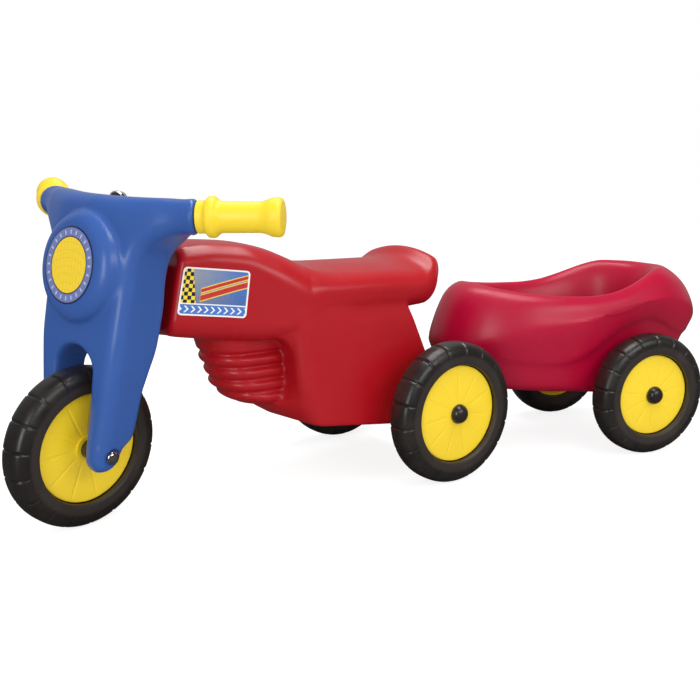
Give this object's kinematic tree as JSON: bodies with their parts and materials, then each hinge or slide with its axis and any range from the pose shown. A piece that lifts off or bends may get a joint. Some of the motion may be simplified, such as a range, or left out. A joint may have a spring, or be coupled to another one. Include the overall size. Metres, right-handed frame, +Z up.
{
  "type": "toddler ride-on scooter",
  "caption": "Toy motorcycle ride-on with a steered fork and hand grips, a saddle body on two rear wheels, and a small tub trailer hitched behind.",
  "frame": {"origin": "middle of the footprint box, on the ground the wheels stand on", "axes": "+X forward along the scooter, +Y to the rider's left, +Z up"},
  "size_m": [0.943, 0.4142, 0.3602],
  "materials": {
    "red_plastic": "satin moulded",
    "crimson_plastic": "satin moulded",
    "blue_plastic": "satin moulded",
    "yellow_plastic": "satin moulded",
    "black_tyre": "satin",
    "black_plastic": "gloss",
    "steel": "drawn",
    "chrome": "polished",
    "printed_label": "printed film"
  },
  "bodies": {
    "scooter_body": {"body_shell": "red_plastic", "tank_label_left": "printed_label", "tank_label_right": "printed_label", "neck_bush_upper": "black_plastic", "neck_bush_lower": "black_plastic", "hitch_pin": "steel", "rear_axle": "steel", "rear_spacer_left": "black_plastic", "rear_spacer_right": "black_plastic"},
    "front_fork": {"fork_shell": "blue_plastic", "headlight_label": "printed_label", "grip_left": "yellow_plastic", "grip_right": "yellow_plastic", "steering_pin": "steel", "steering_cap_top": "chrome", "steering_cap_bottom": "chrome", "front_axle": "steel", "front_axle_cap_left": "chrome", "front_axle_cap_right": "chrome", "front_spacer_left": "black_plastic", "front_spacer_right": "black_plastic"},
    "front_wheel": {"front_tyre": "black_tyre", "front_rim": "yellow_plastic"},
    "rear_left_wheel": {"rear_left_tyre": "black_tyre", "rear_left_rim": "yellow_plastic", "rear_left_hub_cap": "black_plastic"},
    "rear_right_wheel": {"rear_right_tyre": "black_tyre", "rear_right_rim": "yellow_plastic", "rear_right_hub_cap": "black_plastic"},
    "trailer": {"trailer_tub": "crimson_plastic", "drawbar": "crimson_plastic", "drawbar_bolt_1": "steel", "drawbar_bolt_2": "steel", "trailer_axle": "steel", "trailer_spacer_left": "black_plastic", "trailer_spacer_right": "black_plastic"},
    "trailer_left_wheel": {"trailer_left_tyre": "black_tyre", "trailer_left_rim": "yellow_plastic", "trailer_left_hub_cap": "black_plastic"},
    "trailer_right_wheel": {"trailer_right_tyre": "black_tyre", "trailer_right_rim": "yellow_plastic", "trailer_right_hub_cap": "black_plastic"}
  },
  "joints": [
    {"name": "steering", "type": "hinge", "parent": "scooter_body", "child": "front_fork", "pos_m": [0.38272, -0.01272, 0.08396], "axis": [-0.1822, 0, 0.9833], "range_deg": [-45.1, 10.9]},
    {"name": "front_wheel_spin", "type": "hinge", "parent": "front_fork", "child": "front_wheel", "pos_m": [0.38836, -0.01096, 0.085], "axis": [-0.2891, 0.9558, -0.0536], "continuous": true},
    {"name": "rear_left_wheel_spin", "type": "hinge", "parent": "scooter_body", "child": "rear_left_wheel", "pos_m": [-0.01724, 0.10768, 0.085], "axis": [0, 1, 0], "continuous": true},
    {"name": "rear_right_wheel_spin", "type": "hinge", "parent": "scooter_body", "child": "rear_right_wheel", "pos_m": [-0.01724, -0.13312, 0.085], "axis": [0, 1, 0], "continuous": true},
    {"name": "trailer_swing", "type": "hinge", "parent": "scooter_body", "child": "trailer", "pos_m": [-0.04424, -0.01272, 0.084], "axis": [0, 0, 1], "range_deg": [-12.9, 43.1]},
    {"name": "trailer_left_wheel_spin", "type": "hinge", "parent": "trailer", "child": "trailer_left_wheel", "pos_m": [-0.30545, 0.17273, 0.08], "axis": [0.2605, 0.9655, 0], "continuous": true},
    {"name": "trailer_right_wheel_spin", "type": "hinge", "parent": "trailer", "child": "trailer_right_wheel", "pos_m": [-0.36329, -0.04161, 0.08], "axis": [0.2605, 0.9655, 0], "continuous": true}
  ]
}
